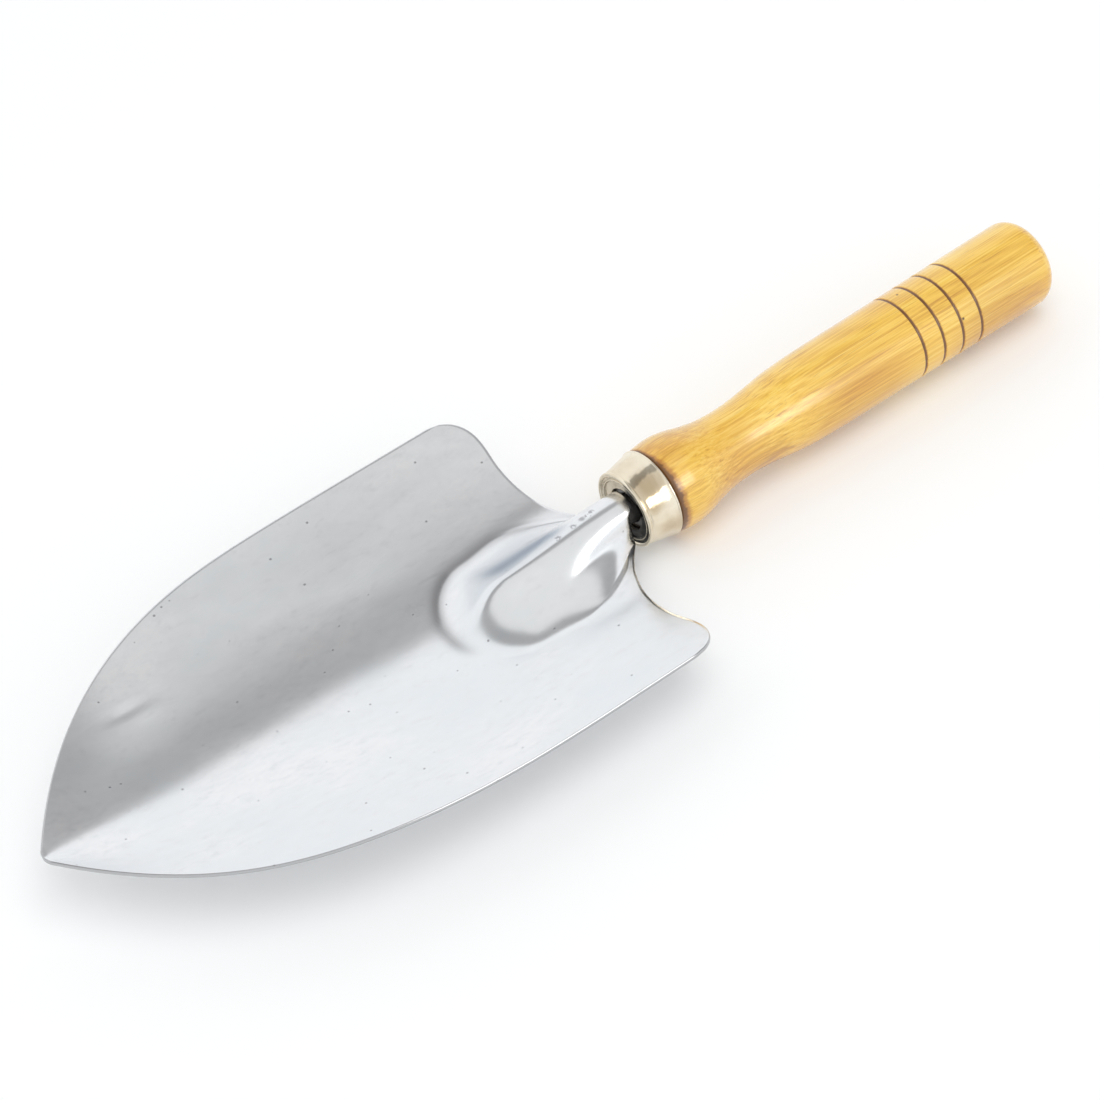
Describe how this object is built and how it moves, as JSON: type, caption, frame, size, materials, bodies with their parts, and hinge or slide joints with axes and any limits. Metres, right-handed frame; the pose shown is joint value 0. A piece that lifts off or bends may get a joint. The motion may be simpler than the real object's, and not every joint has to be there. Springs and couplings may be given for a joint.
{
  "type": "hand trowel",
  "caption": "Hand trowel with a pointed, pressed steel scoop blade on a round tang, a drawn metal ferrule and a turned, grooved wooden handle.",
  "frame": {"origin": "centre of the bounding box, at its lowest level, which is the underside of the handle's swelling", "axes": "+X along the handle axis towards the butt, with the blade tip at -X; +Z out of the open side of the blade; the tool is symmetric across Y"},
  "size_m": [0.3098, 0.108, 0.025],
  "materials": {
    "plated_steel": "satin bright plating",
    "raw_steel": "dark mill finish",
    "nickel": "warm polished nickel",
    "varnished_wood": "clear gloss varnish"
  },
  "bodies": {
    "root": {"blade": "plated_steel", "tang": "raw_steel", "ferrule": "nickel", "handle": "varnished_wood"}
  },
  "joints": []
}
